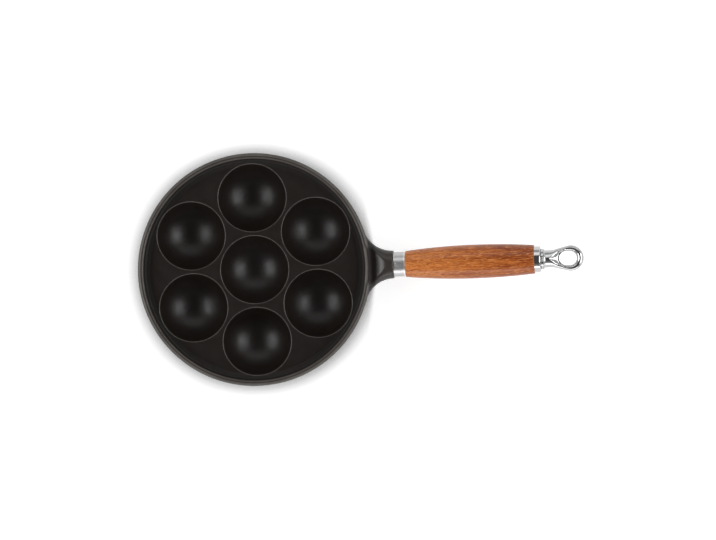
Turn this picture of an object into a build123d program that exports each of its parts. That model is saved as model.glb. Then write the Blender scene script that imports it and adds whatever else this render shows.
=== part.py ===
from build123d import *
import math
import os

# Aebleskiver pan: one iron casting with seven round wells, and a turned wooden handle on a tie rod.
# Millimetres. The pan's axis is +Z, it stands on z = 0, and the handle points along +X.
# Each sub-part goes to its own STEP file.

# Rim, wall and deck of the casting
rim_radius = 104.0
pan_height = 42.0
base_inset = 8.0
base_edge_round = 1.5
wall_thickness = 4.6
rim_thickness = 5.4
rim_round = 2.5
deck_depth = 10.0
deck_foot_round = 2.2
deck_thickness = 4.5

# Wells, one in the middle and six around it, with flat land left between them and at the wall
outer_wells = 6
land_between_wells = 3.6
land_at_wall = 3.8
well_depth = 27.0
well_wall = 4.0
well_edge_round = 0.9
well_pad_radius = 14.0

# Boss that the handle is screwed into
boss_reach = 21.0
boss_root_inset = 9.0
boss_end_z = 27.0
boss_end_half_width = 12.6
boss_end_half_height = 12.6
boss_end_corner = 12.0
boss_end_round = 0.8
boss_flare_radius = 26.0
boss_wall_corner = 5.2
boss_dish_depth = 5.6
boss_belly_depth = 7.0
handle_rise = 7.0

# Tie rod and its thread
thread_diameter = 8.0
thread_pitch = 1.25
thread_depth = 0.75
thread_running_gap = 0.05
engaged_turns = 12
front_thread_length = 20.0
rear_thread_length = 12.0
rod_tip_chamfer = 1.0
socket_spare_depth = 3.0
socket_mouth_chamfer = 0.8
rod_shank_diameter = 6.9

# Metal pieces on the rod
seat_gap = 0.05
ferrule_radius = 10.95
ferrule_length = 10.6
ferrule_wall = 1.2
ferrule_floor = 1.5
ferrule_round = 0.5
rod_hole_gap = 0.3
spigot_gap = 0.1
washer_gap = 0.3
front_washer_thickness = 1.2
cap_radius = 11.6
cap_length = 5.6
cap_wall = 1.2
cap_floor = 1.5
cap_round = 1.4
spring_washer_thickness = 2.0
spring_washer_radius = 7.4
spring_washer_split = 1.6

# Wooden grip
grip_length = 115.7
grip_front_radius = 11.7
grip_rear_radius = 12.8
grip_largest_radius = 15.15
grip_largest_place = 62.8
grip_end_round = 0.9
grip_bore_radius = 4.6

# Hanging eye
eye_collar_radius = 9.3
eye_collar_length = 2.6
eye_collar_round = 0.8
eye_neck_radius = 7.8
eye_neck_length = 10.5
eye_neck_foot_round = 1.5
eye_loop_centre = 26.5
eye_loop_radius = 11.5
eye_loop_thickness = 8.0
eye_flat_start = 6.5
eye_flat_end = 17.5
eye_edge_round = 2.2
eye_hole_length = 15.6
eye_hole_width = 12.1
eye_hole_centre = 23.9
eye_hole_round = 1.2
eye_socket_depth = 10.0
scoop_start = 7.6
scoop_start_z = 7.3
scoop_end_z = 3.6
scoop_half_width = 5.7
scoop_half_depth = 2.4

# What a cut runs past the face that it opens
overrun = 1.0

# Where the boss's sections stand, from its root to its end face, how deep the dish in the top and the
# belly below are there, and how far each section's corners have gone from the wall's to the end's
station_shares = (0.0, 0.12, 0.23, 0.35, 0.49, 0.65, 0.83, 1.0)
dish_shares = (0.45, 0.62, 0.88, 1.0, 0.82, 0.38, 0.08, 0.0)
belly_shares = (1.0, 0.86, 0.66, 0.46, 0.27, 0.12, 0.03, 0.0)
corner_shares = (0.0, 0.0, 0.0, 0.05, 0.3, 0.68, 0.94, 1.0)

# A thread's flank and crest as shares of its pitch, how full the scoop's side bulges, and how far a
# Bezier's handles reach towards the corner for it to run as a quarter of an ellipse
thread_flank_share = 0.42
thread_crest_share = 0.16
scoop_bulge_share = 0.72
quarter_share = 0.5523

deck_z = pan_height - deck_depth
deck_underside_z = deck_z - deck_thickness
rim_inner_radius = rim_radius - rim_thickness
base_radius = rim_radius - base_inset
wall_slope = base_inset / pan_height
boss_end_x = rim_radius + boss_reach
boss_root_x = rim_radius - boss_root_inset

# From the axis to the wall's land there are three half wells and one strip of land
well_edge_radius = (rim_inner_radius - land_at_wall - land_between_wells) / 3
well_pitch_radius = 2 * well_edge_radius + land_between_wells
well_radius = (well_edge_radius**2 + well_depth**2) / (2 * well_depth)
well_centre_z = deck_z - well_depth + well_radius
rod_radius = thread_diameter / 2
socket_radius = rod_radius + thread_running_gap
engagement = engaged_turns * thread_pitch
socket_depth = engagement + socket_spare_depth
rod_hole_radius = rod_radius + rod_hole_gap

# Places along the handle, from the boss's end face outwards
ferrule_start = seat_gap
front_washer_start = ferrule_start + ferrule_floor
grip_start = ferrule_start + ferrule_length
grip_end = grip_start + grip_length
cap_end = grip_end + cap_length
spring_washer_end = cap_end - cap_floor
eye_start = cap_end + seat_gap
rod_end = eye_start + eye_socket_depth

on_floor = (Align.CENTER, Align.CENTER, Align.MIN)
handle_place = Location((boss_end_x, 0, boss_end_z), (0, -handle_rise, 0))


def turned(points, axis=Axis.X, plane=Plane.XY):
    """Solid of revolution of a closed outline, about X in the XY plane unless told otherwise."""
    outline = make_face(plane.from_local_coords(Polyline(*points, close=True)))
    return revolve(outline, axis)


def cylinder_along_x(radius, start, end):
    """Round bar on the X axis, from start to end."""
    return turned([(start, 0), (start, radius), (end, radius), (end, 0)])


def ring_edges(part, radius, place, axis=Axis.X):
    """Round edges of one radius that lie at one place along an axis, to within the seat gap."""
    near = part.edges().filter_by(GeomType.CIRCLE).filter_by_position(
        axis, place - seat_gap, place + seat_gap
    )
    return near.filter_by(lambda edge: abs(edge.radius - radius) < seat_gap)


def well_places():
    """Centres of the wells on the deck: one in the middle, the others around it, two beside the handle."""
    step = 360 / outer_wells
    bearings = [math.radians(step / 2 + step * number) for number in range(outer_wells)]
    around = [(well_pitch_radius * math.cos(b), well_pitch_radius * math.sin(b)) for b in bearings]
    return [(0, 0)] + around


def wall_radius_at(height):
    """Outer radius of the drafted wall at a height."""
    return base_radius + wall_slope * height


def arc_point(centre, radius, turn):
    """Point at an angle in radians on a circle."""
    return (centre[0] + radius * math.cos(turn), centre[1] + radius * math.sin(turn))


def wall_and_deck():
    """Drafted wall, rounded rim and flat deck, turned as one solid that is still full underneath."""
    outer = (rim_radius - rim_round, pan_height - rim_round)
    inner = (rim_inner_radius + rim_round, pan_height - rim_round)
    foot = (rim_inner_radius - deck_foot_round, deck_z + deck_foot_round)
    base = (base_radius, 0)
    reach = math.hypot(outer[0] - base[0], outer[1])
    lean = math.atan2(outer[1], outer[0] - base[0]) - math.asin(rim_round / reach)
    side_turn = lean - math.pi / 2
    outline = Polyline((0, deck_z), (0, 0), base, arc_point(outer, rim_round, side_turn))
    outline = outline + ThreePointArc(
        arc_point(outer, rim_round, side_turn),
        arc_point(outer, rim_round, (side_turn + math.pi / 2) / 2),
        arc_point(outer, rim_round, math.pi / 2),
    )
    outline = outline + Line(arc_point(outer, rim_round, math.pi / 2), arc_point(inner, rim_round, math.pi / 2))
    outline = outline + ThreePointArc(
        arc_point(inner, rim_round, math.pi / 2),
        arc_point(inner, rim_round, math.pi * 3 / 4),
        arc_point(inner, rim_round, math.pi),
    )
    outline = outline + Line(arc_point(inner, rim_round, math.pi), arc_point(foot, deck_foot_round, 0))
    outline = outline + ThreePointArc(
        arc_point(foot, deck_foot_round, 0),
        arc_point(foot, deck_foot_round, -math.pi / 4),
        arc_point(foot, deck_foot_round, -math.pi / 2),
    )
    outline = outline + Line(arc_point(foot, deck_foot_round, -math.pi / 2), (0, deck_z))
    shape = revolve(make_face(Plane.XZ.from_local_coords(outline)), Axis.Z)
    return fillet(ring_edges(shape, base_radius, 0, Axis.Z), base_edge_round)


def boss_half_width(x):
    """Half width of the boss: an arc that runs from the end's sides out to the rim's circle."""
    arc_y = boss_end_half_width + boss_flare_radius
    arc_x = math.sqrt((rim_radius + boss_flare_radius) ** 2 - arc_y**2)
    meets_rim = arc_x * rim_radius / (rim_radius + boss_flare_radius)
    along = min(max(x, meets_rim), arc_x)
    return arc_y - math.sqrt(boss_flare_radius**2 - (arc_x - along) ** 2)


def quarter(start, end, level_first):
    """Quarter of an ellipse between two points: it leaves level and arrives upright, or the reverse."""
    if level_first:
        corner = (end[0], start[1])
    else:
        corner = (start[0], end[1])
    pull_start = tuple(s + (c - s) * quarter_share for s, c in zip(start, corner))
    pull_end = tuple(e + (c - e) * quarter_share for e, c in zip(end, corner))
    return Bezier(start, pull_start, pull_end, end)


def boss_section(share, dish_share, belly_share, corner_share):
    """Section of the boss: a flat top with round corners over a half ellipse, nearly round at the end."""
    x = boss_root_x + (boss_end_x - boss_root_x) * share
    lean = math.radians(handle_rise * share)
    side = boss_half_width(x)
    corner = boss_wall_corner + (boss_end_corner - boss_wall_corner) * corner_share
    top = boss_end_half_height - boss_dish_depth * dish_share
    bottom = -boss_end_half_height - boss_belly_depth * belly_share
    waist = top - corner
    outline = Line((corner - side, top), (side - corner, top))
    outline = outline + quarter((side - corner, top), (side, waist), True)
    outline = outline + quarter((side, waist), (0, bottom), False)
    outline = outline + quarter((0, bottom), (-side, waist), True)
    outline = outline + quarter((-side, waist), (corner - side, top), False)
    plane = Plane((x, 0, boss_end_z), x_dir=(0, 1, 0), z_dir=(math.cos(lean), 0, math.sin(lean)))
    return plane * make_face(outline)


def boss():
    """Flared boss, lofted from the wall to its nearly round end face."""
    shares = zip(station_shares, dish_shares, belly_shares, corner_shares)
    shape = loft([boss_section(*share) for share in shares])
    return fillet(shape.faces().sort_by(Axis.X)[-1].edges(), boss_end_round)


def deck_hollow():
    """Space above the deck, inside the rim."""
    return Pos(0, 0, deck_z) * Cylinder(rim_inner_radius, pan_height, align=on_floor)


def base_hollow():
    """Space under the deck, inside the skirt, around the wells' rounded undersides."""
    points = [
        (0, -overrun),
        (wall_radius_at(-overrun) - wall_thickness, -overrun),
        (wall_radius_at(deck_underside_z) - wall_thickness, deck_underside_z),
        (0, deck_underside_z),
    ]
    hollow = turned(points, Axis.Z, Plane.XZ)
    shell_radius = well_radius + well_wall
    for x, y in well_places():
        shell = Pos(x, y, well_centre_z) * Sphere(shell_radius)
        pad = Pos(x, y, 0) * Cylinder(well_pad_radius, deck_z, align=on_floor)
        hollow = hollow - shell - pad
    floor = Cylinder(rim_radius, overrun, align=(Align.CENTER, Align.CENTER, Align.MAX))
    return hollow + floor


def handle_socket():
    """Bore for the rod in the boss, on the handle's axis, with a chamfered mouth."""
    mouth = socket_radius + socket_mouth_chamfer
    points = [
        (-socket_depth, 0), (-socket_depth, socket_radius), (-socket_mouth_chamfer, socket_radius),
        (0, mouth), (overrun, mouth), (overrun, 0),
    ]
    return handle_place * turned(points)


def well_cut():
    """One well about Z: the ball's lower part, with an edge that rounds over into the deck."""
    round_z = deck_z - well_edge_round
    reach = well_radius + well_edge_round
    up = well_centre_z - round_z
    round_r = math.sqrt(reach**2 - up**2)
    touch = (round_r * well_radius / reach, well_centre_z - up * well_radius / reach)
    halfway_turn = math.atan2(touch[0], well_centre_z - touch[1]) / 2
    halfway = (well_radius * math.sin(halfway_turn), well_centre_z - well_radius * math.cos(halfway_turn))
    crown_turn = (math.pi / 2 + math.atan2(up, -round_r)) / 2
    crown = (round_r + well_edge_round * math.cos(crown_turn), round_z + well_edge_round * math.sin(crown_turn))
    bottom = (0, well_centre_z - well_radius)
    above = deck_z + overrun
    outline = Polyline(bottom, (0, above), (round_r, above), (round_r, deck_z))
    outline = outline + ThreePointArc((round_r, deck_z), crown, touch)
    outline = outline + ThreePointArc(touch, halfway, bottom)
    return revolve(make_face(Plane.XZ.from_local_coords(outline)), Axis.Z)


def pan_body():
    """The whole casting."""
    body = wall_and_deck() + (boss() - deck_hollow())
    body = body - base_hollow()
    well = well_cut()
    body = body - [Pos(x, y, 0) * well for x, y in well_places()]
    return body - handle_socket()


def cup(radius, length, wall, floor, edge_round):
    """Turned cup on X with a holed floor at zero, open at its far end."""
    points = [
        (0, rod_hole_radius), (0, radius), (length, radius), (length, radius - wall),
        (floor, radius - wall), (floor, rod_hole_radius),
    ]
    shape = turned(points)
    return fillet(ring_edges(shape, radius, 0), edge_round)


def front_ferrule():
    """Steel sleeve between the boss and the wood."""
    sleeve = cup(ferrule_radius, ferrule_length, ferrule_wall, ferrule_floor, ferrule_round)
    return Pos(ferrule_start, 0, 0) * sleeve


def front_washer():
    """Flat washer on the ferrule's floor, which the wood bears on."""
    start = front_washer_start
    end = start + front_washer_thickness
    outer = ferrule_radius - ferrule_wall - washer_gap
    return turned([(start, rod_hole_radius), (start, outer), (end, outer), (end, rod_hole_radius)])


def wood_grip():
    """Turned grip: two arcs that meet at its fattest place, a spigot at each end and a through bore."""
    front_spigot_start = front_washer_start + front_washer_thickness
    rear_spigot_end = spring_washer_end - spring_washer_thickness
    front_spigot = ferrule_radius - ferrule_wall - spigot_gap
    rear_spigot = cap_radius - cap_wall - spigot_gap
    front = (grip_start, grip_front_radius)
    fattest = (grip_start + grip_largest_place, grip_largest_radius)
    rear = (grip_end, grip_rear_radius)
    front_arc = TangentArc(fattest, front, tangent=(-1, 0))
    rear_arc = TangentArc(fattest, rear, tangent=(1, 0))
    rest = Polyline(
        rear, (grip_end, rear_spigot), (rear_spigot_end, rear_spigot), (rear_spigot_end, grip_bore_radius),
        (front_spigot_start, grip_bore_radius), (front_spigot_start, front_spigot),
        (grip_start, front_spigot), front,
    )
    grip = revolve(make_face(front_arc + rear_arc + rest), Axis.X)
    ends = ring_edges(grip, grip_front_radius, grip_start) + ring_edges(grip, grip_rear_radius, grip_end)
    return fillet(ends, grip_end_round)


def rear_ferrule():
    """Steel cap on the rear end of the wood, with its rounded floor outwards."""
    cap = cup(cap_radius, cap_length, cap_wall, cap_floor, cap_round)
    return Pos(cap_end, 0, 0) * mirror(cap, Plane.YZ)


def spring_washer():
    """Split washer, pressed flat between the wood and the cap's floor."""
    start = spring_washer_end - spring_washer_thickness
    end = spring_washer_end
    outer = spring_washer_radius
    ring = turned([(start, rod_hole_radius), (start, outer), (end, outer), (end, rod_hole_radius)])
    middle = (start + end) / 2
    slot = Box(spring_washer_thickness + overrun, 2 * outer, spring_washer_split)
    return ring - Pos(middle, outer, 0) * slot


def eye_blank():
    """Eye turned about X: collar, neck, and a cone that runs tangent into the loop's ball."""
    neck = (eye_neck_length, eye_neck_radius)
    centre = (eye_loop_centre, 0)
    run = eye_loop_centre - eye_neck_length
    reach = math.hypot(run, eye_neck_radius)
    lean = math.asin(eye_loop_radius / reach) - math.atan2(eye_neck_radius, run)
    touch_turn = lean + math.pi / 2
    touch = arc_point(centre, eye_loop_radius, touch_turn)
    outline = Polyline(
        (0, 0), (0, eye_collar_radius), (eye_collar_length, eye_collar_radius),
        (eye_collar_length, eye_neck_radius), neck, touch,
    )
    outline = outline + ThreePointArc(
        touch, arc_point(centre, eye_loop_radius, touch_turn / 2), arc_point(centre, eye_loop_radius, 0)
    )
    outline = outline + Line(arc_point(centre, eye_loop_radius, 0), (0, 0))
    shape = revolve(make_face(outline), Axis.X)
    collar = ring_edges(shape, eye_collar_radius, 0) + ring_edges(shape, eye_collar_radius, eye_collar_length)
    shape = fillet(collar, eye_collar_round)
    return fillet(ring_edges(shape, eye_neck_radius, eye_collar_length), eye_neck_foot_round)


def eye_side():
    """Slab that flattens the round blank towards the loop, seen from the side."""
    far = eye_loop_centre + 2 * eye_loop_radius
    half = eye_loop_thickness / 2
    full = eye_collar_radius + overrun
    ease = (eye_flat_end - eye_flat_start) / 3
    slope = Bezier(
        (eye_flat_start, eye_neck_radius), (eye_flat_start + ease, eye_neck_radius),
        (eye_flat_end - ease, half), (eye_flat_end, half),
    )
    under = Bezier(
        (eye_flat_end, -half), (eye_flat_end - ease, -half),
        (eye_flat_start + ease, -eye_neck_radius), (eye_flat_start, -eye_neck_radius),
    )
    near = Polyline(
        (eye_flat_start, -eye_neck_radius), (eye_flat_start, -full), (-overrun, -full), (-overrun, full),
        (eye_flat_start, full), (eye_flat_start, eye_neck_radius),
    )
    end = Polyline((eye_flat_end, half), (far, half), (far, -half), (eye_flat_end, -half))
    face = make_face(Plane.XZ.from_local_coords(slope + end + under + near))
    return extrude(face, eye_loop_radius + overrun, both=True)


def eye_scoop():
    """Pointed hollow that falls from the neck into the hole, open upwards, for the upper face."""
    end = eye_hole_centre - scoop_start
    wide = (end, scoop_half_width)
    bulge = (end / 2, scoop_half_width * scoop_bulge_share)
    outline = ThreePointArc((0, 0), bulge, wide) + Polyline(wide, (end, 0), (0, 0))
    bowl = revolve(make_face(outline), Axis.X)
    bowl = scale(bowl, by=(1, 1, scoop_half_depth / scoop_half_width))
    half = make_face(outline)
    above = extrude(half, eye_neck_radius) + extrude(mirror(half, Plane.XZ), eye_neck_radius)
    fall = math.degrees(math.atan2(scoop_start_z - scoop_end_z, end))
    return Pos(scoop_start, 0, scoop_start_z) * Rot(0, fall, 0) * (bowl + above)


def hanging_eye():
    """Polished eye, with its oval hole, a scoop in each face and the rod's bore in its neck."""
    shape = eye_blank() & eye_side()
    rims = shape.edges().filter_by_position(Axis.X, eye_flat_end, eye_loop_centre + eye_loop_radius)
    shape = fillet(rims, eye_edge_round)
    hole = Pos(eye_hole_centre, 0, 0) * SlotOverall(eye_hole_length, eye_hole_width)
    shape = shape - extrude(hole, eye_collar_radius, both=True)
    mouths = shape.faces().filter_by(Plane.XY).edges()
    inner = mouths.filter_by_position(
        Axis.X, eye_hole_centre - eye_hole_length / 2, eye_hole_centre + eye_hole_length / 2
    )
    shape = fillet(inner, eye_hole_round)
    scoop = eye_scoop()
    shape = shape - scoop - mirror(scoop, Plane.XY)
    return shape - cylinder_along_x(rod_radius, -overrun, eye_socket_depth)


def thread_outline(start, end):
    """Crests and roots of a thread between two places on the rod, worked out pitch by pitch."""
    turns = int((end - start) / thread_pitch)
    core = rod_radius - thread_depth
    points = []
    for turn in range(turns):
        crest = start + turn * thread_pitch
        points = points + [
            (crest, core),
            (crest + thread_pitch * thread_flank_share, rod_radius),
            (crest + thread_pitch * (thread_flank_share + thread_crest_share), rod_radius),
        ]
    return points


def tie_rod():
    """Rod with a thread at each end: one in the boss, one in the eye."""
    shank = rod_shank_diameter / 2
    core = rod_radius - thread_depth
    front = -engagement
    front_end = front + rod_tip_chamfer + front_thread_length
    rear_start = rod_end - rod_tip_chamfer - rear_thread_length
    points = [(front, 0), (front, core - rod_tip_chamfer)]
    points = points + thread_outline(front + rod_tip_chamfer, front_end)
    points = points + [(front_end, core), (front_end, shank), (rear_start, shank)]
    points = points + thread_outline(rear_start, rod_end - rod_tip_chamfer)
    points = points + [(rod_end - rod_tip_chamfer, core), (rod_end, core - rod_tip_chamfer), (rod_end, 0)]
    return turned(points)


parts = {
    "pan_body": pan_body(),
    "front_ferrule": handle_place * front_ferrule(),
    "front_washer": handle_place * front_washer(),
    "wood_grip": handle_place * wood_grip(),
    "rear_ferrule": handle_place * rear_ferrule(),
    "spring_washer": handle_place * spring_washer(),
    "hanging_eye": handle_place * Pos(eye_start, 0, 0) * hanging_eye(),
    "tie_rod": handle_place * tie_rod(),
}

os.makedirs("parts", exist_ok=True)
for name, solid in parts.items():
    export_step(solid, f"parts/{name}.step")
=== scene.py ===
import math

import bmesh
import bpy
import numpy as np
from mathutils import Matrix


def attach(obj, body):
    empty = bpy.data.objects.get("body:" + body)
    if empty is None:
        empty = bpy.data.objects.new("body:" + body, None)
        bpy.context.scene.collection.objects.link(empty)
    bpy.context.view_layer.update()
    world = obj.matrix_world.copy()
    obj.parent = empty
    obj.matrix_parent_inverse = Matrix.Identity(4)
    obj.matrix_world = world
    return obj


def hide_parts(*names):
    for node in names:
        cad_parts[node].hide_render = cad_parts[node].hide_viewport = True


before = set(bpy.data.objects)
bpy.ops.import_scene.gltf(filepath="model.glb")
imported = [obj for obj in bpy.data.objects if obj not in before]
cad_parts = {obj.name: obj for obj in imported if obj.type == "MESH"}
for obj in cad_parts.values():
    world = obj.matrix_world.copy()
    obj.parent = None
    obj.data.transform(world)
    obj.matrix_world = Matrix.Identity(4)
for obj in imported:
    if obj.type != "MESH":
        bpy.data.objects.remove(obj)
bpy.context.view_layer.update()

# Studio.
# A plain white table with a white wall round it, two soft boxes at the pan's left and right, two weak wide
# panels before and behind it, and an even room that dims overhead. The long lens looks straight down.


def shader(name):
    """A material with its node tree emptied, and that tree."""
    material = bpy.data.materials.new(name)
    material.use_nodes = True
    tree = material.node_tree
    tree.nodes.clear()
    return material, tree


def put(tree, kind, settings=None, **sockets):
    """A new node. Its sockets are given by name, with _ for a space, or by count as i0, i1 and so on, each
    as a value or as another node's socket to link from."""
    node = tree.nodes.new(kind)
    for key, value in (settings or {}).items():
        setattr(node, key, value)
    for key, value in sockets.items():
        counted = key[0] == "i" and key[1:].isdigit()
        target = node.inputs[int(key[1:]) if counted else key.replace("_", " ")]
        if isinstance(value, bpy.types.NodeSocket):
            tree.links.new(value, target)
        else:
            target.default_value = value
    return node


def maths(tree, operation, *values):
    """What a Math node makes of one, two or three values or sockets."""
    sockets = {f"i{place}": value for place, value in enumerate(values)}
    return put(tree, "ShaderNodeMath", {"operation": operation}, **sockets).outputs[0]


def ranged(tree, value, start, end, low=0.0, high=1.0, run="LINEAR"):
    """A socket's value carried from start and end to low and high, and held past both."""
    carried = put(tree, "ShaderNodeMapRange", {"interpolation_type": run}, Value=value, From_Min=start,
                  From_Max=end, To_Min=low, To_Max=high)
    return carried.outputs[0]


def white(name, camera_lift, mirror_lift, shadow_range):
    """Matt white that camera and mirror rays see lifted towards plain white, save within a given range of an
    object, where an ambient occlusion node dims the lift into a painted contact shadow. That range shrinks to
    a quarter along the boss, so the painted shadow is fainter there, and from below the white is clear."""
    boss_from, boss_to = 0.1, 0.118
    covered, uncovered = 0.68, 0.965
    material, tree = shader(name)
    path = put(tree, "ShaderNodeLightPath").outputs
    direct = maths(tree, "MULTIPLY", path["Is Camera Ray"], camera_lift)
    mirrored = maths(tree, "MAXIMUM", path["Is Glossy Ray"], path["Is Transmission Ray"])
    lift = maths(tree, "MULTIPLY_ADD", mirrored, mirror_lift, direct)
    place = put(tree, "ShaderNodeSeparateXYZ", Vector=put(tree, "ShaderNodeTexCoord").outputs["Object"])
    shadow_reach = ranged(tree, place.outputs["X"], boss_from, boss_to, shadow_range, shadow_range / 4)
    # Painted contact shadow: ambient occlusion near an object dims the white's lift.
    contact_shadow = put(tree, "ShaderNodeAmbientOcclusion", {"samples": 6}, Distance=shadow_reach)
    lift = maths(tree, "MULTIPLY", lift, ranged(tree, contact_shadow.outputs["AO"], covered, uncovered))
    glow = put(tree, "ShaderNodeEmission", Strength=lift)
    matt = put(tree, "ShaderNodeBsdfDiffuse", Color=(0.6, 0.6, 0.6, 1))
    both = put(tree, "ShaderNodeAddShader", i0=matt.outputs[0], i1=glow.outputs[0])
    side = put(tree, "ShaderNodeNewGeometry")
    clear = put(tree, "ShaderNodeBsdfTransparent")
    shown = put(tree, "ShaderNodeMixShader", i0=side.outputs["Backfacing"], i1=both.outputs[0],
                i2=clear.outputs[0])
    put(tree, "ShaderNodeOutputMaterial", Surface=shown.outputs[0])
    return material


wall_sides, wall_radius, wall_height = 72, 3.0, 1.75
wall_turn = np.linspace(0, 2 * np.pi, wall_sides + 1)[:-1]
ring = np.stack([wall_radius * np.cos(wall_turn), wall_radius * np.sin(wall_turn)], 1)
low = np.column_stack([ring, np.zeros(wall_sides)])
high = np.column_stack([ring, np.full(wall_sides, wall_height)])
step = np.arange(wall_sides)
after = (step + 1) % wall_sides
wall_faces = np.stack([step, after, after + wall_sides, step + wall_sides], 1)
stage_mesh = bpy.data.meshes.new("table_and_wall")
stage_mesh.from_pydata(np.concatenate([low, high]).tolist(), [], [tuple(step.tolist())] + wall_faces.tolist())
stage_mesh.materials.append(white("white_table", 0.68, 0.42, 0.021))
stage_mesh.materials.append(white("white_wall", 0.75, 0.75, 0.01))
stage_mesh.polygons.foreach_set("material_index", (np.arange(wall_sides + 1) > 0).astype(np.int32))
table = bpy.data.objects.new("table_and_wall", stage_mesh)
bpy.context.scene.collection.objects.link(table)

room = bpy.data.worlds.new("room")
room.use_nodes = True
tree = room.node_tree
tree.nodes.clear()
way = put(tree, "ShaderNodeSeparateXYZ", Vector=put(tree, "ShaderNodeTexCoord").outputs["Generated"])
dim = ranged(tree, way.outputs["Z"], 0.35, 0.85, 0.4, 0.07, "SMOOTHSTEP")
even = put(tree, "ShaderNodeBackground", Color=(1, 1, 1, 1), Strength=dim)
put(tree, "ShaderNodeOutputWorld", Surface=even.outputs[0])
bpy.context.scene.world = room

# Each lamp's name, two sides, watts, place and turn in degrees
lamp_rows = [
    ("soft_box_left", (0.75, 1.15), 12.5, (-1.243, -0.08, 1.007), (0, -51, 0)),
    ("soft_box_right", (0.75, 1.15), 12.5, (1.243, -0.08, 1.007), (0, 51, 0)),
    ("panel_behind", (3.0, 0.95), 8, (0.1, 1.48, 1.35), (-47.5, 0, 0)),
    ("panel_before", (3.0, 0.65), 13.5, (0.1, -1.93, 0.52), (75, 0, 0)),
]
for name, sides, watts, place, tilt in lamp_rows:
    lamp = bpy.data.lights.new(name, "AREA")
    lamp.shape = "RECTANGLE"
    lamp.size, lamp.size_y = sides
    lamp.energy = watts
    holder = bpy.data.objects.new(name, lamp)
    holder.location = place
    holder.rotation_euler = [math.radians(angle) for angle in tilt]
    bpy.context.scene.collection.objects.link(holder)

lens = bpy.data.cameras.new("camera")
lens.sensor_width = 36
lens.lens = 140.9
lens.clip_end = 50
camera = bpy.data.objects.new("camera", lens)
camera.location = (0.0925, -0.0038, 2.542)
camera.rotation_euler = (0, 0, -math.radians(2.1))
bpy.context.scene.collection.objects.link(camera)
bpy.context.scene.camera = camera
bpy.context.scene.view_settings.view_transform = "Standard"

# Casting.
# One iron casting of rim, wall, deck, seven wells and boss, coated all over with satin black enamel. The
# coat is grey on the wells' edges and the rim's crest, partly as thin coat and partly as painted highlight,
# and grey on the boss as painted highlight. It is duller at the wall's foot.
outer_wells, wells_ring, well_edge, deck_height = 6, 0.0644, 0.0305, 0.0318
foot_radius, inner_crest, wide_crest, outer_crest, rim_radius = 0.0962, 0.0999, 0.1003, 0.1024, 0.1034
foot_height, crest_height = 0.036, 0.0415
enamel, tree = shader("enamel")
spot = put(tree, "ShaderNodeTexCoord").outputs["Object"]
axes = put(tree, "ShaderNodeSeparateXYZ", Vector=spot).outputs
level = put(tree, "ShaderNodeCombineXYZ", X=axes["X"], Y=axes["Y"]).outputs[0]
radius = put(tree, "ShaderNodeVectorMath", {"operation": "LENGTH"}, i0=level).outputs["Value"]
nearest = radius
for number in range(outer_wells):
    bearing = math.radians(30 + 360 / outer_wells * number)
    centre = (wells_ring * math.cos(bearing), wells_ring * math.sin(bearing), 0)
    gap = put(tree, "ShaderNodeVectorMath", {"operation": "DISTANCE"}, i0=level, i1=centre)
    nearest = maths(tree, "MINIMUM", nearest, gap.outputs["Value"])


def band(tree, value, middle, half, soft):
    """1 where value is within half of middle, and 0 past a soft margin."""
    off = maths(tree, "ABSOLUTE", maths(tree, "SUBTRACT", value, middle))
    return ranged(tree, off, half, half + soft, 1.0, 0.0, "SMOOTHSTEP")


def bump(tree, height, strength, distance, under=None):
    """The normal over a height's swells, on top of another normal if one is given."""
    below = {} if under is None else {"Normal": under}
    swells = put(tree, "ShaderNodeBump", Strength=strength, Distance=distance, Height=height, **below)
    return swells.outputs[0]


def blend(tree, share, first, second):
    """The colour that lies share of the way from the first to the second."""
    return put(tree, "ShaderNodeMix", {"data_type": "RGBA"}, i0=share, i6=first, i7=second).outputs[2]


# Grey where the coat is thin, and as painted highlights: the wells' edges and the crest's two lines, which
# are one wide line by the boss.
# A band is given by its middle, half its width and its soft margin
well_edge_highlight = maths(tree, "MULTIPLY", band(tree, nearest, well_edge, 0.00012, 0.00035),
             band(tree, axes["Z"], deck_height, 0.0006, 0.0004))
by_boss = maths(tree, "MULTIPLY", band(tree, axes["Y"], 0.0, 0.013, 0.008),
                ranged(tree, axes["X"], 0.05, 0.06))
free = maths(tree, "SUBTRACT", 1.0, by_boss)
inner_crest_highlight = maths(tree, "MULTIPLY", band(tree, radius, inner_crest, 0.0005, 0.0007), 0.62)
outer_crest_highlight = maths(tree, "MULTIPLY", band(tree, radius, outer_crest, 0.0007, 0.0007), free)
wide_crest_highlight = maths(tree, "MULTIPLY", band(tree, radius, wide_crest, 0.001, 0.0006), by_boss)
# The crest's grey bands are painted highlights, partly thin coat.
crest = maths(tree, "MAXIMUM", maths(tree, "MAXIMUM", inner_crest_highlight, outer_crest_highlight), wide_crest_highlight)
crest = maths(tree, "MULTIPLY", crest, band(tree, axes["Z"], crest_height, 0.0022, 0.0012))
patchy = put(tree, "ShaderNodeTexNoise", Vector=spot, Scale=60.0, Detail=3.0).outputs["Fac"]
thin_coat_and_highlight = maths(tree, "MULTIPLY", maths(tree, "MAXIMUM", well_edge_highlight, crest), ranged(tree, patchy, 0.3, 0.7, 0.7, 1.0))
# Painted highlight: the boss is painted lighter grey, and made glossier below.
boss_highlight = ranged(tree, axes["X"], 0.106, 0.11, 0.0, 0.26, "SMOOTHSTEP")
coat_and_highlight_colour = blend(tree, maths(tree, "MAXIMUM", thin_coat_and_highlight, boss_highlight), (0.0112, 0.0078, 0.0064, 1),
                    (0.11, 0.1, 0.09, 1))

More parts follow.
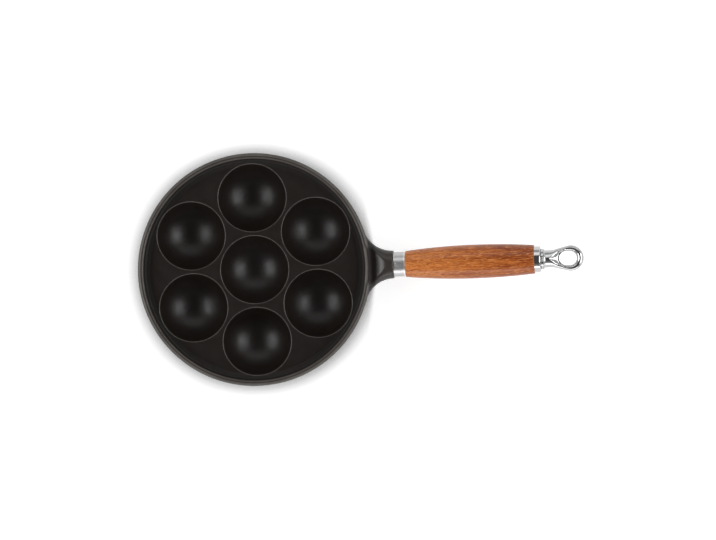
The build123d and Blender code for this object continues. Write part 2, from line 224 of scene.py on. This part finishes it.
# The coat's skin, and how dull it is
peel = put(tree, "ShaderNodeTexNoise", Vector=spot, Scale=900.0, Detail=2.0).outputs["Fac"]
swell = put(tree, "ShaderNodeTexNoise", Vector=spot, Scale=120.0, Detail=1.0).outputs["Fac"]
skin_normal = bump(tree, swell, 0.1, 0.0006, bump(tree, peel, 0.12, 0.0002))
dullness = maths(tree, "MULTIPLY_ADD", boss_highlight, -0.4, ranged(tree, swell, 0.3, 0.7, 0.36, 0.42))
foot = maths(tree, "MULTIPLY", band(tree, radius, foot_radius, 0.0018, 0.001),
             band(tree, axes["Z"], foot_height, 0.007, 0.001))
rim_outside = maths(tree, "MULTIPLY", band(tree, radius, rim_radius, 0.0012, 0.0006), by_boss)
dullness = maths(tree, "MULTIPLY_ADD", maths(tree, "MAXIMUM", foot, rim_outside), 0.35, dullness)
coat = put(tree, "ShaderNodeBsdfPrincipled", Base_Color=coat_and_highlight_colour, Roughness=dullness,
           Specular_IOR_Level=0.4, Normal=skin_normal)
put(tree, "ShaderNodeOutputMaterial", Surface=coat.outputs[0])
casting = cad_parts["pan_body"]
casting.data.materials.clear()
casting.data.materials.append(enamel)

# Front ferrule.
# A sleeve of stainless steel between boss and wood, turned and brushed round its axis.
# The wood's spigot sits in it, and the tie rod pulls it against the boss.
rise = math.radians(7)
out_along = np.array([math.cos(rise), 0, math.sin(rise)])
out_up = np.array([-math.sin(rise), 0, math.cos(rise)])
boss_end = np.array([0.125, 0, 0.027])


def turned_metal(name, colour, roughness, ring_scale, ring_strength, unhighlighted_span=(-1.0, 1.0)):
    """Metal with rings round the handle's axis: noise along that axis alone. It has a painted highlight, a
    paler colour, before and past the two places of its span, which are measured along the axis."""
    metal, tree = shader(name)
    spot = put(tree, "ShaderNodeTexCoord").outputs["Object"]
    along = put(tree, "ShaderNodeVectorMath", {"operation": "DOT_PRODUCT"}, i0=spot,
                i1=tuple(out_along)).outputs["Value"]
    rings = put(tree, "ShaderNodeTexNoise", {"noise_dimensions": "1D"}, W=along, Scale=ring_scale, Detail=3.0,
                Roughness=0.7).outputs["Fac"]
    highlight_width = 0.0002
    # Painted highlight: a paler colour before and past the span.
    before = ranged(tree, along, unhighlighted_span[0] - highlight_width, unhighlighted_span[0], 1.0, 0.0)
    highlight_past = ranged(tree, along, unhighlighted_span[1], unhighlighted_span[1] + highlight_width)
    metal_and_highlight = blend(tree, maths(tree, "MAXIMUM", highlight_past, before), colour, (0.88, 0.87, 0.84, 1))
    skin = put(tree, "ShaderNodeBsdfPrincipled", Base_Color=metal_and_highlight, Metallic=1.0,
               Roughness=ranged(tree, rings, 0.3, 0.7, roughness * 0.8, roughness * 1.25),
               Normal=bump(tree, rings, ring_strength, 0.0001))
    put(tree, "ShaderNodeOutputMaterial", Surface=skin.outputs[0])
    return metal


ferrule_start = out_along @ boss_end
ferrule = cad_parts["front_ferrule"]
ferrule.data.materials.clear()
# The ferrule has painted highlights: a pale band at each end.
ferrule.data.materials.append(turned_metal("ferrule_steel", (0.64, 0.64, 0.64, 1), 0.34, 1900.0, 0.9,
                                           (ferrule_start + 0.0009, ferrule_start + 0.0093)))

# Front washer.
# A plain zinc-plated steel washer on the ferrule's floor, which the wood bears on. It is hidden at rest.
zinc = turned_metal("washer_steel", (0.58, 0.59, 0.6, 1), 0.35, 900.0, 0.1)
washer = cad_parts["front_washer"]
washer.data.materials.clear()
washer.data.materials.append(zinc)

# Wooden grip.
# Beech, turned to a long barrel, stained red-brown and varnished, with a spigot at each end and a bore
# for the tie rod. The grain runs along it, with beech's short dark flecks.


def handle_points(x, y, z):
    """Points given along, across and above the handle's axis from the boss's end, in row coordinates."""
    x, y, z = np.broadcast_arrays(x, y, z)
    spots = boss_end + x[..., None] * out_along + z[..., None] * out_up
    spots[..., 1] += y
    return spots


def grid_piece(name, points, closed_rows, material, body):
    """A smooth closed mesh from a grid of points. Each column joins the next and the last joins the first,
    as rows do if closed. Points in one place are merged, and faces turn outwards: six times the volume is
    the sum, over the faces, of a corner's dot product with the cross product of the next two corners."""
    rows, columns = points.shape[:2]
    index = np.arange(rows * columns).reshape(rows, columns)
    index = np.concatenate([index, index[:, :1]], 1)
    if closed_rows:
        index = np.concatenate([index, index[:1]], 0)
    quads = np.stack([index[:-1, :-1], index[1:, :-1], index[1:, 1:], index[:-1, 1:]], -1).reshape(-1, 4)
    spots = points.reshape(-1, 3)
    a, b, c, d = (spots[quads[:, corner]] - spots.mean(0) for corner in range(4))
    volume = (a * np.cross(b, c)).sum() + (a * np.cross(c, d)).sum()
    if volume < 0:
        quads = quads[:, ::-1]
    mesh = bpy.data.meshes.new(name)
    mesh.from_pydata(spots.tolist(), [], quads.tolist())
    skin = bmesh.new()
    skin.from_mesh(mesh)
    bmesh.ops.remove_doubles(skin, verts=skin.verts, dist=1e-6)
    bmesh.ops.dissolve_degenerate(skin, edges=skin.edges, dist=1e-7)
    skin.to_mesh(mesh)
    skin.free()
    mesh.polygons.foreach_set("use_smooth", np.ones(len(mesh.polygons), bool))
    mesh.materials.append(material)
    piece = bpy.data.objects.new(name, mesh)
    bpy.context.scene.collection.objects.link(piece)
    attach(piece, body)
    return piece


def turned_piece(name, line, material, body, sides=96):
    """A closed outline turned round the handle's axis: its points give a place along it and a radius."""
    spin = np.linspace(0, 2 * np.pi, sides + 1)[:-1]
    along, size = line[:, 0][:, None], line[:, 1][:, None]
    points = handle_points(along, size * np.sin(spin), size * np.cos(spin))
    return grid_piece(name, points, True, material, body)


def corner_run(centre, radius, start, end, count):
    """Points of a rounded corner: centre plus radius times (cosine, sine) of an angle in degrees."""
    angle = np.radians(np.linspace(start, end, count))
    return np.stack([centre[0] + radius * np.cos(angle), centre[1] + radius * np.sin(angle)], 1)


def streaks(tree, space, scale, shift=(0, 0, 0), **noise):
    """Noise drawn out along the grain. Its scale is given along, across and above the handle's axis."""
    drawn_out = put(tree, "ShaderNodeMapping", Vector=space, Scale=scale, Location=shift).outputs[0]
    return put(tree, "ShaderNodeTexNoise", Vector=drawn_out, Scale=1.0, **noise).outputs["Fac"]


bore, spigot_front, spigot_rear, front_face, rear_face = 0.0046, 0.00965, 0.0103, 0.01, 0.011
spigot_start, wood_start, wood_end, spigot_end = 0.00275, 0.01065, 0.12635, 0.12845
front_size, fat_size, rear_size = 0.0117, 0.01515, 0.0128
fat_x, rounding = 0.07345, 0.0009


def barrel(x):
    """Radius of the grip: two arcs that meet level at its fattest place, as circles of their own size."""
    front_run, front_drop = fat_x - wood_start, fat_size - front_size
    rear_run, rear_drop = wood_end - fat_x, fat_size - rear_size
    front_circle = (front_run**2 + front_drop**2) / (2 * front_drop)
    rear_circle = (rear_run**2 + rear_drop**2) / (2 * rear_drop)
    circle = np.where(x < fat_x, front_circle, rear_circle)
    return fat_size - circle + np.sqrt(circle**2 - (x - fat_x) ** 2)


round_start, round_end = wood_start + rounding, wood_end - rounding
middle = np.linspace(round_start, round_end, 90)
grip_line = np.concatenate([
    [(spigot_start, bore), (spigot_start, spigot_front), (wood_start, spigot_front), (wood_start, front_face)],
    corner_run((round_start, barrel(round_start) - rounding), rounding, 180, 92, 7),
    np.stack([middle, barrel(middle)], 1),
    corner_run((round_end, barrel(round_end) - rounding), rounding, 88, 0, 7),
    [(wood_end, rear_face), (wood_end, spigot_rear), (spigot_end, spigot_rear), (spigot_end, bore)],
])

beech, tree = shader("beech")
spot = put(tree, "ShaderNodeTexCoord").outputs["Object"]
along_grain = put(tree, "ShaderNodeMapping", {"vector_type": "TEXTURE"}, Vector=spot,
                  Location=tuple(boss_end), Rotation=(0, -rise, 0)).outputs[0]
fibre = streaks(tree, along_grain, (60, 1000, 1000), Detail=5.0, Roughness=0.65)
cloud = streaks(tree, along_grain, (14, 160, 160), Detail=3.0, Distortion=0.4)
fleck = streaks(tree, along_grain, (260, 2300, 2300), Detail=1.0)
ray = streaks(tree, along_grain, (170, 1300, 1300), (3, 7, 1), Detail=1.0)
grain_x = put(tree, "ShaderNodeSeparateXYZ", Vector=along_grain).outputs["X"]
tone = maths(tree, "MULTIPLY_ADD", cloud, 0.4, maths(tree, "MULTIPLY", fibre, 0.75))
tone = maths(tree, "ADD", tone, ranged(tree, grain_x, 0.01, 0.13, 0.08, -0.11))
stain = put(tree, "ShaderNodeValToRGB", Fac=tone)
ramp = stain.color_ramp
ramp.elements[0].position, ramp.elements[0].color = 0.4, (0.2, 0.037, 0.007, 1)
ramp.elements[1].position, ramp.elements[1].color = 0.69, (0.66, 0.215, 0.05, 1)
ramp.elements.new(0.51).color = (0.39, 0.093, 0.016, 1)
ramp.elements.new(0.6).color = (0.54, 0.157, 0.03, 1)
flecked = blend(tree, ranged(tree, fleck, 0.36, 0.45, 0.75, 0.0), stain.outputs[0], (0.15, 0.03, 0.008, 1))
flecked = blend(tree, ranged(tree, ray, 0.58, 0.7, 0.0, 0.8), flecked, (0.72, 0.29, 0.085, 1))
varnish = put(tree, "ShaderNodeBsdfPrincipled", Base_Color=flecked, Roughness=0.5, Specular_IOR_Level=0.15,
              Normal=bump(tree, fibre, 0.12, 0.0002), Coat_Weight=0.6, Coat_Roughness=0.22)
put(tree, "ShaderNodeOutputMaterial", Surface=varnish.outputs[0])
grip = turned_piece("grip_wood", grip_line, beech, "grip")
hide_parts("wood_grip")

# Rear ferrule.
# A polished steel cap over the wood's rear end, with its rounded floor outwards.
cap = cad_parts["rear_ferrule"]
cap.data.materials.clear()
cap.data.materials.append(turned_metal("cap_steel", (0.65, 0.645, 0.64, 1), 0.12, 5200.0, 0.05))

# Spring washer.
# A split steel washer between the wood and the cap's floor, pressed flat. It is hidden at rest.
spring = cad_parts["spring_washer"]
spring.data.materials.clear()
spring.data.materials.append(zinc)

# Hanging eye.
# A cast eye, polished bright: a round shoulder and neck that flatten into a teardrop loop. One crest runs
# round the loop and both scoops to the neck. Its sizes are in millimetres from the eye's own start.
chrome, tree = shader("eye_metal")
skin = put(tree, "ShaderNodeBsdfPrincipled", Base_Color=(0.62, 0.62, 0.625, 1), Metallic=1.0, Roughness=0.13)
put(tree, "ShaderNodeOutputMaterial", Surface=skin.outputs[0])
eye_start = 0.132


def ease(t):
    """0 to 1 with level ends: three t squared less two t cubed."""
    t = np.clip(t, 0, 1)
    return t * t * (3 - 2 * t)


def ray_to_circle(angle, from_x, circle_x, size):
    """Distance along a ray from (from_x, 0) to a circle about (circle_x, 0) that holds that point."""
    shift = circle_x - from_x
    return shift * np.cos(angle) + np.sqrt(size**2 - (shift * np.sin(angle)) ** 2)


# Outline from above: the loop's circle, its two tangents to the neck's end, the neck's sides and the cut.
# Like hole and crest, it is a distance from the hole's centre at each turn about it
hole_x, neck, cut = 23.9, 7.8, 4.1
loop_x, loop_size, neck_end = 26.5, 11.5, 10.5
far, tiny = 60.0, 1e-6
turn = np.linspace(-np.pi, np.pi, 541)[:-1]
cosine, sine = np.cos(turn), np.sin(turn)
lean = math.asin(loop_size / math.hypot(loop_x - neck_end, neck)) - math.atan2(neck, loop_x - neck_end)
to_loop = ray_to_circle(turn, hole_x, loop_x, loop_size)
side_normal = np.array([-math.sin(lean), math.cos(lean)])
side_off = side_normal @ np.array([neck_end - hole_x, neck])
towards_side = side_normal[0] * cosine + side_normal[1] * np.abs(sine)
to_side = np.where(towards_side > tiny, side_off / np.maximum(towards_side, tiny), far)
to_neck = neck / np.maximum(np.abs(sine), tiny)
to_cut = np.where(cosine < 0, (hole_x - cut) / np.maximum(-cosine, tiny), far)
touch_x = loop_x - loop_size * math.sin(lean)
outline = np.where(hole_x + to_loop * cosine >= touch_x, to_loop, to_side)
outline = np.where(hole_x + to_side * cosine < neck_end, to_neck, outline)
outline = np.minimum(np.where(cosine > -0.1, to_loop, outline), to_cut)

# Hole: a slot with round ends
hole_length, hole_width = 15.6, 12.1
slot_half, slot_round = (hole_length - hole_width) / 2, hole_width / 2
to_flat = slot_round / np.maximum(np.abs(sine), tiny)
slot_end = slot_half * np.abs(cosine) + np.sqrt(slot_round**2 - (slot_half * sine) ** 2)
hole = np.where(np.abs(to_flat * cosine) <= slot_half, to_flat, slot_end)

# Crest: midway between hole and outline round the loop, and nearly straight to the scoop's tip
tip_x, tip_half = 7.6, 0.28
crest_share, bulge_share, least_edge, smoothings = 0.52, 0.1, 0.4, 12
crest_loop = hole + crest_share * (to_loop - hole)
crest_turn = np.abs(np.arctan2(sine, -cosine))
start_turn = math.radians(62)
start_size = np.interp(np.pi - start_turn, turn, crest_loop)
crest_from = np.array([-math.cos(start_turn), math.sin(start_turn)]) * start_size
crest_to = np.array([tip_x - hole_x, tip_half])
crest_way = crest_to - crest_from
crest_normal = np.array([-crest_way[1], crest_way[0]])
towards_crest = -np.cos(crest_turn) * crest_normal[0] + np.sin(crest_turn) * crest_normal[1]
to_crest = (crest_normal @ crest_from) / np.where(np.abs(towards_crest) > tiny, towards_crest, tiny)
bulge = 1 + bulge_share * np.sin(np.pi * np.clip(crest_turn / start_turn, 0, 1)) ** 2
crest = np.where(crest_turn < start_turn, np.minimum(to_crest * bulge, hole_x - tip_x), crest_loop)
for _ in range(smoothings):
    crest = (np.roll(crest, 1) + crest + np.roll(crest, -1)) / 3
crest = np.minimum(crest, outline - least_edge)
crest_x, crest_side = hole_x + crest * cosine, np.abs(crest * sine)


def half_thickness(x):
    """The neck's radius, easing down to the loop's half thickness between two places along the eye."""
    loop_half, thins_from, thins_to = 4.0, 6.5, 17.5
    return neck + (loop_half - neck) * ease((x - thins_from) / (thins_to - thins_from))


def neck_half_width(x):
    """Half width of the outline where it is the neck or one of the tangents."""
    return np.where(x < neck_end, neck, neck + (x - neck_end) * math.tan(lean))


def rounded(x, fall):
    """Share of the height left at a share of the way down: a quarter circle, mixed at the neck with some
    straight slope, which makes the crest sharp there and round on the loop."""
    neck_share, sharp_to, round_from = 0.18, 13.0, 23.0
    sharp = neck_share - neck_share * ease((x - sharp_to) / (round_from - sharp_to))
    return (1 - sharp) * np.sqrt(np.clip(1 - fall**2, 0, 1)) + sharp * (1 - fall)


# From the crest out: the height falls with the way across the neck, and along a ray on the loop
out_share = np.sin(np.linspace(0, np.pi / 2, 27))[None, :]
out_r = crest[:, None] + (outline - crest)[:, None] * out_share
out_x, out_y = hole_x + out_r * cosine[:, None], out_r * sine[:, None]
one_side = np.flatnonzero(turn < 0)
one_side = one_side[np.argsort(crest_x[one_side])]
crest_y = np.interp(out_x, crest_x[one_side], crest_side[one_side], left=0)
across = np.clip((np.abs(out_y) - crest_y) / np.maximum(neck_half_width(out_x) - crest_y, 0.3), 0, 1)
loop_share = ease((out_x - 15.0) / 7.0)
out_fall = across * (1 - loop_share) + out_share * loop_share
out_z = half_thickness(out_x) * rounded(out_x, out_fall)

# From the crest in: round on the loop. In the scoop, one slope along the eye to a level land at the hole
land_width, land_end, land_height, scoop_slope = 1.25, 15.7, 2.2, 0.68
scoop = ease((start_turn * 1.5 - crest_turn) / (start_turn * 1.2))[:, None]
in_share = np.linspace(0, 1, 25)[None, 1:]
in_share = np.sin(in_share * np.pi / 2) * (1 - scoop) + in_share * scoop
in_r = crest[:, None] + (hole - crest)[:, None] * in_share
in_x, in_y = hole_x + in_r * cosine[:, None], in_r * sine[:, None]
crest_z = half_thickness(crest_x)[:, None]
lip = land_height * scoop
level_x = hole_x + np.maximum(in_r, hole[:, None] + land_width) * cosine[:, None]
slope_z = lip + scoop_slope * np.maximum(land_end - level_x, 0)
slope_at_crest = lip + scoop_slope * np.maximum(land_end - crest_x[:, None], 0)
scoop_z = slope_z + (crest_z - slope_at_crest) * (1 - in_share) ** 3
round_z = lip + (crest_z - lip) * rounded(crest_x[:, None], in_share)
in_z = round_z * (1 - scoop) + scoop_z * scoop
wall_x, wall_y = np.repeat(in_x[:, -1:], 2, 1), np.repeat(in_y[:, -1:], 2, 1)
wall_z = in_z[:, -1:] * np.linspace(1, 0, 4)[None, 1:-1]

# The upper half from outline to hole, and back along its mirror image
top_x = np.concatenate([out_x[:, ::-1], in_x, wall_x], 1) / 1000
top_y = np.concatenate([out_y[:, ::-1], in_y, wall_y], 1) / 1000
top_z = np.concatenate([out_z[:, ::-1], in_z, wall_z], 1) / 1000
both_x, both_y, both_z = (np.concatenate([half, side * half[:, ::-1]], 1)
                          for half, side in ((top_x, 1), (top_y, 1), (top_z, -1)))
loop = grid_piece("eye_loop", handle_points(eye_start + both_x, both_y, both_z), True, chrome, "eye")

# Shoulder: a bead with rounded edges and a hollow round to the neck
bead_size, bead_rounding, bead_width, hollow, eye_bore = 9.3, 0.8, 2.6, 1.5, 4.0
shoulder_line = np.concatenate([
    [(0, eye_bore)],
    corner_run((bead_rounding, bead_size - bead_rounding), bead_rounding, 180, 90, 7),
    corner_run((bead_width - bead_rounding, bead_size - bead_rounding), bead_rounding, 90, 0, 7),
    corner_run((cut, neck + hollow), hollow, 180, 270, 9),
    [(cut, eye_bore)],
]) / 1000
shoulder_line[:, 0] += eye_start
turned_piece("eye_shoulder", shoulder_line, chrome, "eye")
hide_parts("hanging_eye")

# Tie rod.
# A plain drawn steel rod with a rolled thread at each end. Its front thread is screwed into the boss, and
# its rear one is fixed in the eye. It shows only while the handle is unscrewed. Sizes are in millimetres.
rod_steel = turned_metal("rod_steel", (0.5, 0.5, 0.51, 1), 0.3, 700.0, 0.1)
pitch, tooth_share, crest_r, root_r, shank_r, end_r = 1.25, 0.84, 4.0, 3.25, 3.45, 2.4
rod_front, front_end, rear_start, rod_end = -15.0, 6.0, 129.0, 142.0
step_x = pitch / 14
rod_x = np.concatenate([
    np.arange(rod_front, front_end, step_x), np.linspace(front_end, rear_start, 12)[:-1],
    np.arange(rear_start, rod_end, step_x), [rod_end],
])

# The tooth's height follows the place along the rod, in pitches, less the share of a turn round it
spin = np.linspace(0, 2 * np.pi, 65)[:-1]
wind = np.mod(rod_x[:, None] / pitch - spin[None, :] / (2 * np.pi), 1)
tooth = np.clip((1 - np.abs(2 * wind - 1)) / tooth_share, 0, 1)
front_thread = np.clip((rod_x - rod_front) / 1.4, 0, 1) * np.clip((front_end - rod_x) / 1.0, 0, 1)
rear_thread = np.clip((rod_x - rear_start) / 1.0, 0, 1) * np.clip((rod_end - rod_x) / 1.2, 0, 1)
threaded = np.where(rod_x < (front_end + rear_start) / 2, front_thread, rear_thread)[:, None]
bare = np.where((rod_x > front_end - 1) & (rod_x < rear_start + 1), shank_r, root_r)[:, None]
rod_r = bare + (root_r + (crest_r - root_r) * tooth - bare) * threaded
rod_r[0], rod_r[-1] = end_r, end_r
pole = np.zeros((1, len(spin)))
rod_r = np.concatenate([pole, rod_r, pole], 0) / 1000
rod_x = np.concatenate([[rod_front], rod_x, [rod_end]]) / 1000
rod_points = handle_points(rod_x[:, None], rod_r * np.sin(spin), rod_r * np.cos(spin))
rod = grid_piece("threaded_rod", rod_points, False, rod_steel, "eye")
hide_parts("tie_rod")
